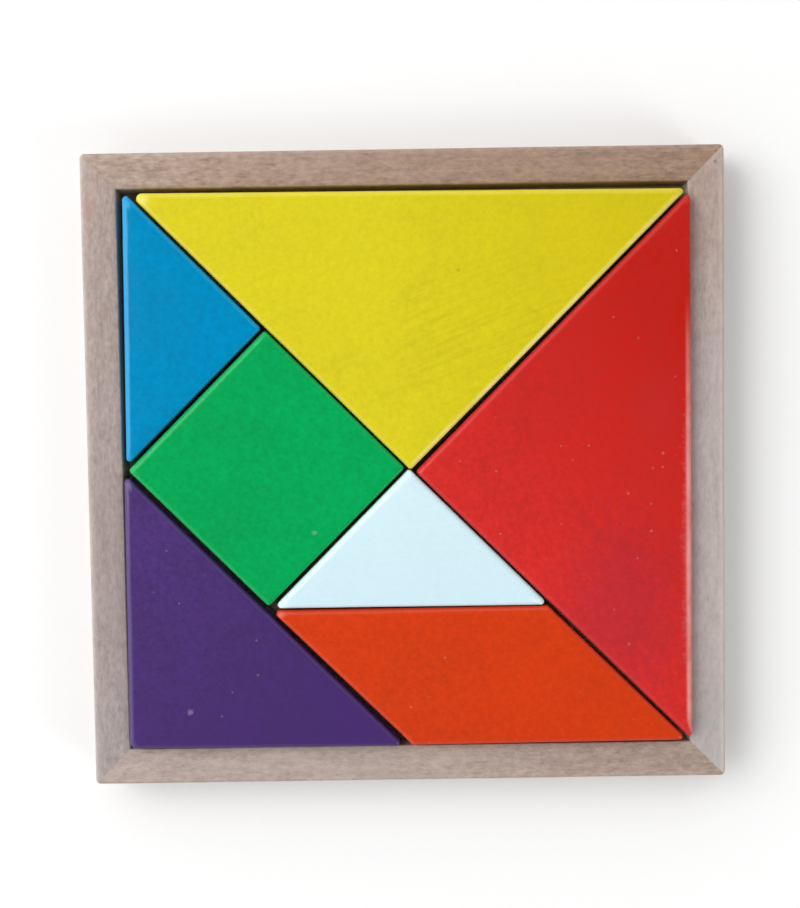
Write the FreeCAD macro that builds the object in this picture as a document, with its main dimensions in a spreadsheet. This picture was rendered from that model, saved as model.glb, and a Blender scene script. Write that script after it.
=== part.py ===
"""Tangram puzzle: seven painted wooden pieces lying as a square in a shallow beech tray.

The tray is four mitred rails round a thin bottom panel, which sits in a groove cut in the rails. The
pieces are one square of wood cut along the classic lines, sanded at every edge and painted. The tray is
a little wider than the square, so the pieces have slid apart and turned slightly in it.

Millimetres. The origin is the middle of the tray's underside, +Z is up, +X is the right of the picture
and +Y is its top.
"""
import FreeCAD, Part
import math
import os

import Sketcher

# Driving sizes: the name in the sheet, the value and what it measures
SIZES = [
    ("puzzle_side", 131.0, "side of the square that the seven pieces are cut from"),
    ("piece_thickness", 10.0, "thickness of the puzzle's wood"),
    ("edge_trim", 0.15, "what saw and sanding take off each edge of a piece, before its own share"),
    ("piece_corner_round", 1.0, "round on a piece's upright corners"),
    ("piece_edge_round", 0.9, "round along a piece's upper and lower edges"),
    ("play_across", 3.0, "how much wider the tray's opening is than the puzzle's square"),
    ("play_along", 1.8, "how much taller the tray's opening is than the puzzle's square"),
    ("rail_width", 8.5, "width of a rail, seen from above"),
    ("rail_height", 11.5, "height of a rail"),
    ("frame_corner_round", 1.2, "round on the frame's four upright corners"),
    ("outer_arris_round", 0.8, "round on the rails' outer arrises"),
    ("inner_arris_round", 0.4, "round on the rails' inner arrises"),
    ("panel_thickness", 3.0, "thickness of the bottom panel"),
    ("panel_lift", 1.5, "height of the bottom panel above the tray's underside"),
    ("groove_depth", 3.0, "depth of the rails' groove for the bottom panel"),
    ("groove_play", 0.1, "how much higher the groove is than the panel is thick"),
    ("panel_play", 0.3, "gap between the panel's edge and the bottom of the groove"),
]

# Sizes that follow from the driving ones, as formulas over the sheet
OPENING_WIDE = "(Sizes.puzzle_side + Sizes.play_across)"
OPENING_TALL = "(Sizes.puzzle_side + Sizes.play_along)"
PANEL_REACH = "(Sizes.groove_depth - Sizes.panel_play)"
FLOOR_HEIGHT = "(Sizes.panel_lift + Sizes.panel_thickness)"
LARGE_LEG = "Sizes.puzzle_side / sqrt(2)"
MEDIUM_LEG = "Sizes.puzzle_side / 2"
SMALL_LEG = "Sizes.puzzle_side / sqrt(8)"
LONG_SIDE = "Sizes.puzzle_side / 2"

# The angle that a piece would turn by if its far end crossed the play, in degrees
PLAY_ANGLE = "Sizes.play_along / Sizes.puzzle_side * 180 / pi"

MITRE_ANGLE = 45

document = FreeCAD.newDocument("tangram")
sheet = document.addObject("Spreadsheet::Sheet", "Sizes")
for row, (alias, value, meaning) in enumerate(SIZES, start=1):
    sheet.set(f"A{row}", str(value))
    sheet.setAlias(f"A{row}", alias)
    sheet.set(f"B{row}", meaning)
document.recompute()


def size(formula):
    """A formula over the sheet, worked out as a plain number."""
    return float(sheet.evalExpression(formula))


def new_body(label):
    body = document.addObject("PartDesign::Body", label)
    body.Label = label
    return body


def new_sketch(body, name, plane_role):
    """An empty sketch on one of the body's own origin planes."""
    plane = next(plane for plane in body.Origin.OriginFeatures if plane.Role == plane_role)
    sketch = body.newObject("Sketcher::SketchObject", name)
    sketch.AttachmentSupport = [(plane, "")]
    sketch.MapMode = "FlatFace"
    return sketch


def constrain(sketch, *words):
    """Adds a constraint and gives its number."""
    return sketch.addConstraint(Sketcher.Constraint(*words))


def dimension(sketch, formula, kind, *places):
    """Adds a dimension of the given kind between the places, bound to the sheet."""
    index = constrain(sketch, kind, *places, size(formula))
    sketch.setExpression(f"Constraints[{index}]", formula)


def draw_polygon(sketch, corners):
    """Joined straight lines through the corners, each line starting at its own corner."""
    count = len(corners)
    for index in range(count):
        start = FreeCAD.Vector(*corners[index], 0)
        end = FreeCAD.Vector(*corners[(index + 1) % count], 0)
        sketch.addGeometry(Part.LineSegment(start, end))
    for index in range(count):
        constrain(sketch, "Coincident", index, 2, (index + 1) % count, 1)


def pad(body, sketch, formula):
    """Raises the sketch by the formula's height."""
    feature = body.newObject("PartDesign::Pad", f"{body.Label}_pad")
    feature.Profile = sketch
    feature.setExpression("Length", formula)
    document.recompute()
    return feature


def round_edges(body, base, name, chosen, formula):
    """Rounds the edges of the base feature that the function chosen picks."""
    edges = [f"Edge{number}" for number, edge in enumerate(base.Shape.Edges, start=1) if chosen(edge)]
    feature = body.newObject("PartDesign::Fillet", f"{body.Label}_{name}")
    feature.Base = (base, edges)
    feature.setExpression("Radius", formula)
    document.recompute()
    return feature


def place(body, x_formula, y_formula, z_formula, turn_formula):
    """Binds the body's place and its turn about the upright to the sheet."""
    body.setExpression("Placement.Base.x", x_formula)
    body.setExpression("Placement.Base.y", y_formula)
    body.setExpression("Placement.Base.z", z_formula)
    body.setExpression("Placement.Rotation.Angle", turn_formula)


def middle(edge):
    """The point half way along an edge."""
    return edge.valueAt((edge.FirstParameter + edge.LastParameter) / 2)


def is_upright(edge):
    start, end = (vertex.Point for vertex in edge.Vertexes)
    return math.hypot(end.x - start.x, end.y - start.y) < 1e-6


def is_level(edge, heights):
    """Whether all of the edge lies at one of the heights."""
    ends = [vertex.Point.z for vertex in edge.Vertexes]
    return any(all(abs(end - height) < 1e-6 for end in ends) for height in heights)


def draw_rail(sketch, length_formula):
    """A rail from above, with its inner edge centred on the sketch's origin and its outer edge below.

    Its ends are mitred. Each outer corner is rounded up to the mitre, where the next rail takes over.
    """
    half = size(length_formula) / 2
    width = size("Sizes.rail_width")
    radius = size("Sizes.frame_corner_round")
    round_x = half + width - radius
    round_y = radius - width
    tip_x = round_x + radius / math.sqrt(2)
    tip_y = round_y - radius / math.sqrt(2)
    inner_edge, right_mitre, right_round, outer_edge, left_round, left_mitre = range(6)
    upright = FreeCAD.Vector(0, 0, 1)

    def line(start, end):
        sketch.addGeometry(Part.LineSegment(FreeCAD.Vector(*start, 0), FreeCAD.Vector(*end, 0)))

    def arc(centre, first_angle, last_angle):
        circle = Part.Circle(FreeCAD.Vector(*centre, 0), upright, radius)
        sketch.addGeometry(Part.ArcOfCircle(circle, math.radians(first_angle), math.radians(last_angle)))

    line((-half, 0), (half, 0))
    line((half, 0), (tip_x, tip_y))
    arc((round_x, round_y), -90, MITRE_ANGLE - 90)
    line((round_x, -width), (-round_x, -width))
    arc((-round_x, round_y), -90 - MITRE_ANGLE, -90)
    line((-tip_x, tip_y), (-half, 0))

    constrain(sketch, "Coincident", inner_edge, 2, right_mitre, 1)
    constrain(sketch, "Coincident", right_mitre, 2, right_round, 2)
    constrain(sketch, "Tangent", right_round, 1, outer_edge, 1)
    constrain(sketch, "Tangent", outer_edge, 2, left_round, 2)
    constrain(sketch, "Coincident", left_round, 1, left_mitre, 1)
    constrain(sketch, "Coincident", left_mitre, 2, inner_edge, 1)
    constrain(sketch, "Horizontal", inner_edge)
    constrain(sketch, "Horizontal", outer_edge)
    constrain(sketch, "Symmetric", inner_edge, 1, inner_edge, 2, -1, 1)
    constrain(sketch, "Angle", right_mitre, math.radians(-MITRE_ANGLE))
    constrain(sketch, "Angle", left_mitre, math.radians(MITRE_ANGLE))
    constrain(sketch, "PointOnObject", right_round, 3, right_mitre)
    constrain(sketch, "PointOnObject", left_round, 3, left_mitre)
    dimension(sketch, length_formula, "DistanceX", inner_edge, 1, inner_edge, 2)
    dimension(sketch, "Sizes.rail_width", "DistanceY", outer_edge, 1, inner_edge, 1)
    dimension(sketch, "Sizes.frame_corner_round", "Radius", right_round)
    dimension(sketch, "Sizes.frame_corner_round", "Radius", left_round)


def draw_groove(sketch):
    """The groove's section: a rectangle that opens at the rail's inner face."""
    depth = size("Sizes.groove_depth")
    low = size("Sizes.panel_lift")
    high = size(f"{FLOOR_HEIGHT} + Sizes.groove_play")
    draw_polygon(sketch, [(-depth, low), (0, low), (0, high), (-depth, high)])
    constrain(sketch, "Horizontal", 0)
    constrain(sketch, "Vertical", 1)
    constrain(sketch, "Horizontal", 2)
    constrain(sketch, "Vertical", 3)
    constrain(sketch, "PointOnObject", 0, 2, -2)
    dimension(sketch, "Sizes.panel_lift", "DistanceY", -1, 1, 0, 2)
    dimension(sketch, "Sizes.panel_thickness + Sizes.groove_play", "DistanceY", 1, 1, 1, 2)
    dimension(sketch, "Sizes.groove_depth", "DistanceX", 0, 1, 0, 2)


def build_rail(label, length_formula, x_formula, y_formula, turn):
    """A mitred strip with the panel's groove along its inner face and its arrises eased."""
    body = new_body(label)
    outline = new_sketch(body, f"{label}_outline", "XY_Plane")
    draw_rail(outline, length_formula)
    strip = pad(body, outline, "Sizes.rail_height")

    section = new_sketch(body, f"{label}_groove_section", "YZ_Plane")
    draw_groove(section)
    groove = body.newObject("PartDesign::Pocket", f"{label}_groove")
    groove.Profile = section
    groove.Type = "ThroughAll"
    groove.SideType = "Symmetric"
    document.recompute()
    if groove.Shape.Volume >= strip.Shape.Volume:
        raise RuntimeError(f"{label}: the groove cuts nothing")

    faces = (0, size("Sizes.rail_height"))
    outer_limit = size("Sizes.frame_corner_round / 2 - Sizes.rail_width")

    def is_outer_arris(edge):
        return is_level(edge, faces) and middle(edge).y < outer_limit

    def is_inner_arris(edge):
        return is_level(edge, faces) and abs(middle(edge).y) < 1e-6

    outer = round_edges(body, groove, "outer_arrises", is_outer_arris, "Sizes.outer_arris_round")
    round_edges(body, outer, "inner_arrises", is_inner_arris, "Sizes.inner_arris_round")
    place(body, x_formula, y_formula, "0", str(turn))
    return body


def build_panel():
    """The plywood bottom, which reaches into the groove on all four sides."""
    wide = f"{OPENING_WIDE} + 2 * {PANEL_REACH}"
    tall = f"{OPENING_TALL} + 2 * {PANEL_REACH}"
    right = size(wide) / 2
    top = size(tall) / 2
    body = new_body("base_panel")
    sketch = new_sketch(body, "panel_outline", "XY_Plane")
    draw_polygon(sketch, [(-right, -top), (right, -top), (right, top), (-right, top)])
    constrain(sketch, "Horizontal", 0)
    constrain(sketch, "Vertical", 1)
    constrain(sketch, "Horizontal", 2)
    constrain(sketch, "Vertical", 3)
    constrain(sketch, "Symmetric", 0, 1, 1, 2, -1, 1)
    dimension(sketch, wide, "DistanceX", 0, 1, 0, 2)
    dimension(sketch, tall, "DistanceY", 1, 1, 1, 2)
    pad(body, sketch, "Sizes.panel_thickness")
    place(body, "0", "0", "Sizes.panel_lift", "0")
    return body


def pin_first_corner(sketch, x_formula, trim_formula):
    """Ties the sketch's first corner to its origin, one trim above the nominal lower side."""
    dimension(sketch, x_formula, "DistanceX", -1, 1, 0, 1)
    dimension(sketch, trim_formula, "DistanceY", -1, 1, 0, 1)


def draw_triangle(sketch, leg_formula, trim_formula):
    """A right-angled triangle with equal legs, its nominal right angle at the sketch's origin.

    Each side lies one trim inside the nominal outline, which shortens a leg by 2 + sqrt(2) trims.
    """
    cut_leg_formula = f"{leg_formula} - (2 + sqrt(2)) * {trim_formula}"
    low = size(trim_formula)
    high = low + size(cut_leg_formula)
    draw_polygon(sketch, [(low, low), (high, low), (low, high)])
    constrain(sketch, "Horizontal", 0)
    constrain(sketch, "Vertical", 2)
    constrain(sketch, "Equal", 0, 2)
    pin_first_corner(sketch, trim_formula, trim_formula)
    dimension(sketch, cut_leg_formula, "DistanceX", 0, 1, 0, 2)


def draw_square(sketch, side_formula, trim_formula):
    """A square with its nominal lower left corner at the sketch's origin."""
    cut_side_formula = f"{side_formula} - 2 * {trim_formula}"
    low = size(trim_formula)
    high = low + size(cut_side_formula)
    draw_polygon(sketch, [(low, low), (high, low), (high, high), (low, high)])
    constrain(sketch, "Horizontal", 0)
    constrain(sketch, "Vertical", 1)
    constrain(sketch, "Horizontal", 2)
    constrain(sketch, "Vertical", 3)
    constrain(sketch, "Equal", 0, 1)
    pin_first_corner(sketch, trim_formula, trim_formula)
    dimension(sketch, cut_side_formula, "DistanceX", 0, 1, 0, 2)


def draw_parallelogram(sketch, long_formula, trim_formula):
    """A parallelogram that leans left by half a right angle and is half as high as it is long.

    Its nominal lower left corner is the sketch's origin. The trims shorten a long side by sqrt(8) of
    them, and the sloping side's trim moves the first corner right by sqrt(2) - 1 of them.
    """
    first_x_formula = f"(sqrt(2) - 1) * {trim_formula}"
    cut_long_formula = f"{long_formula} - sqrt(8) * {trim_formula}"
    cut_height_formula = f"{long_formula} / 2 - 2 * {trim_formula}"
    left = size(first_x_formula)
    low = size(trim_formula)
    long_side = size(cut_long_formula)
    height = size(cut_height_formula)
    draw_polygon(sketch, [(left, low), (left + long_side, low),
                          (left + long_side - height, low + height), (left - height, low + height)])
    constrain(sketch, "Horizontal", 0)
    constrain(sketch, "Horizontal", 2)
    constrain(sketch, "Parallel", 1, 3)
    constrain(sketch, "Angle", 1, math.radians(180 - MITRE_ANGLE))
    pin_first_corner(sketch, first_x_formula, trim_formula)
    dimension(sketch, cut_long_formula, "DistanceX", 0, 1, 0, 2)
    dimension(sketch, cut_height_formula, "DistanceY", 1, 1, 1, 2)


def build_piece(label, draw, side_formula, sanded, corner, turn, lie):
    """One puzzle piece, cut to its outline and rounded at every corner and edge.

    Sanded is the share of the edge trim that its edges lost. The corner is the nominal place
    of the sketch's origin, in quarters of the puzzle's side from the middle of the tray, and turn is
    in degrees. The lie says how the piece has slid to the right, slid up and turned in the tray, each
    as a share of the play.
    """
    body = new_body(label)
    outline = new_sketch(body, f"{label}_outline", "XY_Plane")
    draw(outline, side_formula, f"(Sizes.edge_trim * {sanded})")
    block = pad(body, outline, "Sizes.piece_thickness")
    faces = (0, size("Sizes.piece_thickness"))
    corners = round_edges(body, block, "corners", is_upright, "Sizes.piece_corner_round")
    round_edges(body, corners, "edges", lambda edge: is_level(edge, faces), "Sizes.piece_edge_round")

    right, up = corner
    slid_right, slid_up, turned = lie
    place(body,
          f"Sizes.puzzle_side * {right} / 4 + Sizes.play_across * {slid_right}",
          f"Sizes.puzzle_side * {up} / 4 + Sizes.play_along * {slid_up}",
          FLOOR_HEIGHT,
          f"{turn} + {PLAY_ANGLE} * {turned}")
    return body


# Label, length along the inner edge, place of that edge's middle and turn in degrees
RAILS = [
    ("rail_bottom", OPENING_WIDE, "0", f"-{OPENING_TALL} / 2", 0),
    ("rail_right", OPENING_TALL, f"{OPENING_WIDE} / 2", "0", 90),
    ("rail_top", OPENING_WIDE, "0", f"{OPENING_TALL} / 2", 180),
    ("rail_left", OPENING_TALL, f"-{OPENING_WIDE} / 2", "0", 270),
]

# Label, outline, side, share of the trim, nominal corner, turn and lie
PIECES = [
    ("large_triangle_yellow", draw_triangle, LARGE_LEG, 1.0, (0, 0), 45, (0.34, -0.31, -0.38)),
    ("large_triangle_red", draw_triangle, LARGE_LEG, 2.0, (0, 0), -45, (0.58, -0.42, 0.00)),
    ("medium_triangle_purple", draw_triangle, MEDIUM_LEG, 0.3, (-2, -2), 0, (-0.40, -0.08, -0.33)),
    ("small_triangle_blue", draw_triangle, SMALL_LEG, 1.8, (-1, 1), 135, (-0.08, 0.32, -0.63)),
    ("small_triangle_white", draw_triangle, SMALL_LEG, 0.3, (0, 0), 225, (0.22, 0.06, -0.07)),
    ("square_green", draw_square, SMALL_LEG, 0.9, (-1, -1), 45, (-0.08, 0.22, -0.35)),
    ("parallelogram_orange", draw_parallelogram, LONG_SIDE, 0.3, (0, -2), 0, (0.15, -0.11, 0.36)),
]


def check_document():
    """Stops if any object failed to build."""
    for item in document.Objects:
        if "Invalid" in item.State or "Error" in item.State:
            raise RuntimeError(f"{item.Label} did not build: {item.State}")
        if item.isDerivedFrom("Sketcher::SketchObject") and not item.FullyConstrained:
            raise RuntimeError(f"{item.Label} has loose lines")


def check_solid(body):
    """Stops if the body is not one valid solid."""
    shape = body.Shape
    if shape.isNull() or not shape.isValid() or len(shape.Solids) != 1:
        raise RuntimeError(f"{body.Label} is not one valid solid")


bodies = [build_rail(*rail) for rail in RAILS]
bodies.append(build_panel())
bodies += [build_piece(*piece) for piece in PIECES]
document.recompute()
check_document()

os.makedirs("parts", exist_ok=True)
for body in bodies:
    check_solid(body)
    body.Shape.exportStep(f"parts/{body.Label}.step")
    box = body.Shape.BoundBox
    print(f"{body.Label}: {body.Shape.Volume / 1000:.2f} cm3, "
          f"{box.XLength:.2f} x {box.YLength:.2f} x {box.ZLength:.2f} mm")
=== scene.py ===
# %% [markdown]
# A tangram is a square of wood sawn into seven pieces that can be laid again as hundreds of figures.
# This lesson dresses one that lies complete in its tray. A CAD model already fixes every size, so the
# script loads it first and never moves it. What is left for Blender is what the eye sees: the soft
# edges of sanded and painted wood, the bare beech of the tray, and the light.

# %% Load the fixed frame
import math

import bpy
import numpy as np
from mathutils import Euler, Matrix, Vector, geometry


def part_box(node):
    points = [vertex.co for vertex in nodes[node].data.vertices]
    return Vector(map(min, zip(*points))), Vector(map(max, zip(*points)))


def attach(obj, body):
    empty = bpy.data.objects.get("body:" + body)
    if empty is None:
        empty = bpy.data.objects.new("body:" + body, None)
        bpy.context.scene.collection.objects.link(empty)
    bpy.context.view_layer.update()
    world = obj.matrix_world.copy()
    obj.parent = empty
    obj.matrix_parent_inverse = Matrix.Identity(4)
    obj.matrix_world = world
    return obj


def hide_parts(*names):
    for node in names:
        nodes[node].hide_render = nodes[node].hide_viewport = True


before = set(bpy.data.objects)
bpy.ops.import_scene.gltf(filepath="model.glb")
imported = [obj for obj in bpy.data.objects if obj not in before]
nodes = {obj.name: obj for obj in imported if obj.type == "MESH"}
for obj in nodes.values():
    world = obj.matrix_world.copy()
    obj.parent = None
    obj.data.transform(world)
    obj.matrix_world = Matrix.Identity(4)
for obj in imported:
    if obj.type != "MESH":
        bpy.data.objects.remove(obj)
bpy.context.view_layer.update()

MM = 0.001
print("CAD nodes:", ", ".join(sorted(nodes)))

# %% [markdown]
# The picture is taken from straight above, about 28 cm over the tray, as one holds a telephone over a
# table. From so near, the pieces, which stand a little higher than the rails, hide the rail beside
# them. The camera could be aimed with a constraint, but a plain place and three small turns say
# exactly how it stands, and nothing can change them later.

# %% Camera
PICTURE_TALL = 908
FOCAL_PIXELS = 1183
SENSOR_MM = 36
CAMERA_PLACE_MM = (-0.96, 16.38, 291.05)
CAMERA_TURNS_DEG = (-2.661, 0.086, -0.859)

lens = bpy.data.cameras.new("camera")
lens.sensor_width = SENSOR_MM
lens.lens = FOCAL_PIXELS / PICTURE_TALL * SENSOR_MM
lens.clip_start = 0.01
camera = bpy.data.objects.new("camera", lens)
camera.location = Vector(CAMERA_PLACE_MM) * MM
camera.rotation_mode = "ZYX"
camera.rotation_euler = Euler([math.radians(turn) for turn in CAMERA_TURNS_DEG], "ZYX")
bpy.context.collection.objects.link(camera)
bpy.context.scene.camera = camera
bpy.context.scene.view_settings.view_transform = "Standard"
print(f"camera: {lens.lens:.1f} mm lens, {camera.location.z * 1000:.0f} mm above the table")

# %% [markdown]
# A window at the left, a little above the middle of the picture, draws a bright line on every edge that faces it
# and leaves a narrow shade on the rail beyond the pieces. A weaker light from the lower right lights the red
# piece's right edge, whose pale line is also partly a painted highlight. A sun would do the same with hard
# shadows, so two wide round lamps are used.

# %% Lamps
LAMP_COLOUR = (1.0, 0.99, 0.98)
LAMP_AWAY = 1.3


def lamp(name, azimuth, elevation, size, watts):
    """A round lamp on a sphere about the tray, facing its middle.

    Azimuth 0 is the right of the picture and 90 its top, both in degrees.
    """
    level, round_about = math.radians(elevation), math.radians(azimuth)
    way = Vector((math.cos(level) * math.cos(round_about), math.cos(level) * math.sin(round_about),
                  math.sin(level)))
    data = bpy.data.lights.new(name, "AREA")
    data.shape = "DISK"
    data.size = size
    data.energy = watts
    data.color = LAMP_COLOUR
    light = bpy.data.objects.new(name, data)
    light.location = way * LAMP_AWAY
    light.rotation_euler = way.to_track_quat("Z", "Y").to_euler()
    bpy.context.collection.objects.link(light)
    print(f"{name}: {watts} W from azimuth {azimuth}, elevation {elevation}")


lamp("window", 160, 44, 0.94, 7.0)
lamp("second light", -35, 26, 0.6, 4.0)

# %% [markdown]
# Everything that varies is worked out by shader nodes, in the sky as in the materials. A few small
# helpers keep their code readable: each adds a node and fills or joins its sockets. Every pattern
# reads the object's own coordinates in millimetres, so a number in a material is a size that one could
# measure on the wood.

# %% Helpers for shader nodes
def add(tree, kind, values=None, **settings):
    """Adds a node. Values fills input sockets by name or number, or joins another node's output to them."""
    node = tree.nodes.new(kind)
    for name, setting in settings.items():
        setattr(node, name, setting)
    for socket, value in (values or {}).items():
        if isinstance(value, bpy.types.NodeSocket):
            tree.links.new(value, node.inputs[socket])
        else:
            node.inputs[socket].default_value = value
    return node


def maths(tree, operation, first, second=0.0, third=0.0, clamp=False):
    """One sum on numbers. MULTIPLY_ADD gives the first times the second plus the third."""
    sockets = {0: first, 1: second, 2: third}
    return add(tree, "ShaderNodeMath", sockets, operation=operation, use_clamp=clamp).outputs[0]


def vectors(tree, operation, first, second=(0.0, 0.0, 0.0)):
    """One sum on vectors. LENGTH and DOT_PRODUCT give a number, the others a vector."""
    node = add(tree, "ShaderNodeVectorMath", {0: first, 1: second}, operation=operation)
    return node.outputs["Value" if operation in ("LENGTH", "DOT_PRODUCT") else "Vector"]


def mixed(tree, share, first, second):
    """The first colour where share is 0, the second where it is 1."""
    return add(tree, "ShaderNodeMix", {0: share, 6: first, 7: second}, data_type="RGBA").outputs[2]


def ramp(tree, value, low, high, to_low=0.0, to_high=1.0, **settings):
    """Stretches value from the span low to high onto the span to_low to to_high, and stops at its ends."""
    sockets = {0: value, 1: low, 2: high, 3: to_low, 4: to_high}
    return add(tree, "ShaderNodeMapRange", sockets, **settings).outputs[0]


def noise(tree, point, per_mm, detail, roughness, distortion=0.0):
    """Soft noise around 0.5. Per_mm is the number of bumps in a millimetre along each axis.

    Where it is small along one axis, the bumps are long that way.
    """
    sockets = {"Vector": vectors(tree, "MULTIPLY", point, per_mm), "Scale": 1.0, "Detail": detail,
               "Roughness": roughness, "Distortion": distortion}
    return add(tree, "ShaderNodeTexNoise", sockets).outputs[0]


def point_in_mm(tree, turn=0.0, shift=(0.0, 0.0, 0.0)):
    """The object's coordinates in millimetres, turned about the upright and then shifted."""
    place = add(tree, "ShaderNodeTexCoord").outputs["Object"]
    sockets = {"Vector": place, "Location": shift, "Rotation": (0.0, 0.0, math.radians(turn)),
               "Scale": (1000.0, 1000.0, 1000.0)}
    return add(tree, "ShaderNodeMapping", sockets).outputs[0]


# %% [markdown]
# The rest of the light comes from the room, made here as a sky. It is bright up to half its height,
# more so on the window's side and less at the bottom of the picture, and dark overhead, where the
# person with the camera bends over the tray. An even sky would be simpler, but its mirror image would
# lie on the satin paint and make every colour paler.

# %% Sky
SKY_BRIGHT = 1.28
BRIGHT_UP_TO = 0.72
DARK_FROM = 0.94
LIT_WAY = (-0.99, 0.12, 0.0)
LIT_MORE = 0.75
DIMMED_FROM, DIMMED_TO = -0.1, -0.9
DIMMED_SHARE = 0.45

sky = bpy.data.worlds.new("sky")
sky.use_nodes = True
tree = sky.node_tree
direction = add(tree, "ShaderNodeTexCoord").outputs["Generated"]
parts = add(tree, "ShaderNodeSeparateXYZ", {0: direction}).outputs
lean = maths(tree, "MULTIPLY_ADD", vectors(tree, "DOT_PRODUCT", direction, LIT_WAY), LIT_MORE, 1.0)
fade = ramp(tree, parts["Z"], BRIGHT_UP_TO, DARK_FROM, SKY_BRIGHT, 0.0, interpolation_type="SMOOTHSTEP")
dimmed = ramp(tree, parts["Y"], DIMMED_TO, DIMMED_FROM, DIMMED_SHARE, 1.0)
glow = maths(tree, "MULTIPLY", maths(tree, "MULTIPLY", fade, lean), dimmed)
background = tree.nodes["Background"].inputs
background["Color"].default_value = (1.0, 1.0, 1.0, 1.0)
tree.links.new(glow, background["Strength"])
bpy.context.scene.world = sky
print(f"sky: {SKY_BRIGHT} bright, dark above {math.degrees(math.asin(DARK_FROM)):.0f} degrees")

# %% [markdown]
# An effect that several finishes share is a node group, a small graph with named inputs and outputs.
# It is built once, and each material places it with its own values. The shader itself stays in the
# material, with the numbers that are the same all over it.

# %% Helpers for groups and materials
def new_group(name, inputs, outputs):
    """Starts a node group and gives its tree, its input node's outputs and its output node's inputs."""
    group = bpy.data.node_groups.new(name, "ShaderNodeTree")
    for label, kind in inputs:
        group.interface.new_socket(label, in_out="INPUT", socket_type="NodeSocket" + kind)
    for label, kind in outputs:
        group.interface.new_socket(label, in_out="OUTPUT", socket_type="NodeSocket" + kind)
    return group, group.nodes.new("NodeGroupInput").outputs, group.nodes.new("NodeGroupOutput").inputs


def new_material(name):
    """A material with a Principled shader. Gives the material, its tree and the shader's inputs."""
    material = bpy.data.materials.new(name)
    material.use_nodes = True
    return material, material.node_tree, material.node_tree.nodes["Principled BSDF"].inputs


def placed(tree, group, values):
    """A group placed in a material with its values. Gives its outputs."""
    return add(tree, "ShaderNodeGroup", values, node_tree=group).outputs


BUMP_MM = 0.05


def join(tree, shader, colour, effect, bump_strength):
    """Joins a colour, and a group's roughness and height, to a material's shader."""
    sockets = {"Height": effect["Height"], "Strength": bump_strength, "Distance": BUMP_MM * MM}
    tree.links.new(colour, shader["Base Color"])
    tree.links.new(effect["Roughness"], shader["Roughness"])
    tree.links.new(add(tree, "ShaderNodeBump", sockets).outputs[0], shader["Normal"])


# %% [markdown]
# Neither wood nor paint keeps one tone from end to end: a board changes along its length, and paint lies fuller
# where it ran to. On the painted pieces the drift is also painted shade, where the light falls off across a
# piece. A picture could hold such a drift. Here it is one sum, how far a point has come on the way between two
# places.

# %% Group: drift
tone_drift, start, finish = new_group(
    "drift", [("Point", "Vector"), ("Start", "Vector"), ("Way", "Vector")], [("Share", "Float")])
from_start = vectors(tone_drift, "SUBTRACT", start["Point"], start["Start"])
on_the_way = vectors(tone_drift, "DOT_PRODUCT", from_start, start["Way"])
tone_drift.links.new(ramp(tone_drift, on_the_way, 0.0, 1.0), finish["Share"])
print("group made:", tone_drift.name)


def drift(tree, point, near, far):
    """0 at the place near and 1 at the place far, both in millimetres, evenly between and flat beyond."""
    way = Vector(far) - Vector(near)
    values = {"Point": point, "Start": near, "Way": way / way.length_squared}
    return placed(tree, tone_drift, values)["Share"]


# %% [markdown]
# Beech is a plain, pinkish wood. What tells it from others is its mottle of short dark flecks, one to
# three millimetres long and all lying along the grain, over slow streaks and blotches. A picture of
# wood could be wrapped on, but a solid pattern made of stretched noise is cut by every face as real
# wood is, and the mitres then show the grain turning the corner by themselves.

# %% Group: beech grain
beech_grain, start, finish = new_group(
    "beech grain",
    [("Point", "Vector"), ("Pale", "Color"), ("Deep", "Color"), ("Streaks", "Float"), ("Flecks", "Float")],
    [("Color", "Color"), ("Roughness", "Float"), ("Height", "Float")])
streak = noise(beech_grain, start["Point"], (0.012, 0.22, 0.22), 3.0, 0.6, 0.6)
blotch = noise(beech_grain, start["Point"], (0.14, 0.42, 0.42), 4.0, 0.6)
mottle = noise(beech_grain, start["Point"], (0.50, 0.95, 0.95), 3.0, 0.7)
fibre = noise(beech_grain, start["Point"], (0.30, 4.5, 4.5), 3.0, 0.65)
dash = noise(beech_grain, start["Point"], (0.42, 1.9, 1.9), 1.0, 0.5)
fleck = maths(beech_grain, "MULTIPLY", ramp(beech_grain, dash, 0.52, 0.74), start["Flecks"])
speckle = maths(beech_grain, "MULTIPLY", ramp(beech_grain, mottle, 0.3, 0.7, -0.5, 0.5), 0.95)
slow = maths(beech_grain, "MULTIPLY_ADD", ramp(beech_grain, streak, 0.3, 0.7), 0.35, speckle)
cloudy = maths(beech_grain, "MULTIPLY_ADD", ramp(beech_grain, blotch, 0.3, 0.7), 0.5, slow)
fine = maths(beech_grain, "MULTIPLY_ADD", ramp(beech_grain, fibre, 0.25, 0.75, -0.5, 0.5), 0.26, cloudy)
depth = maths(beech_grain, "MULTIPLY_ADD", fine, start["Streaks"], fleck, clamp=True)
pores = maths(beech_grain, "MULTIPLY_ADD", fleck, -0.5, fibre)
beech_grain.links.new(mixed(beech_grain, depth, start["Pale"], start["Deep"]), finish["Color"])
beech_grain.links.new(ramp(beech_grain, fibre, 0.3, 0.7, 0.55, 0.75), finish["Roughness"])
beech_grain.links.new(pores, finish["Height"])
print("group made:", beech_grain.name)
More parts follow.
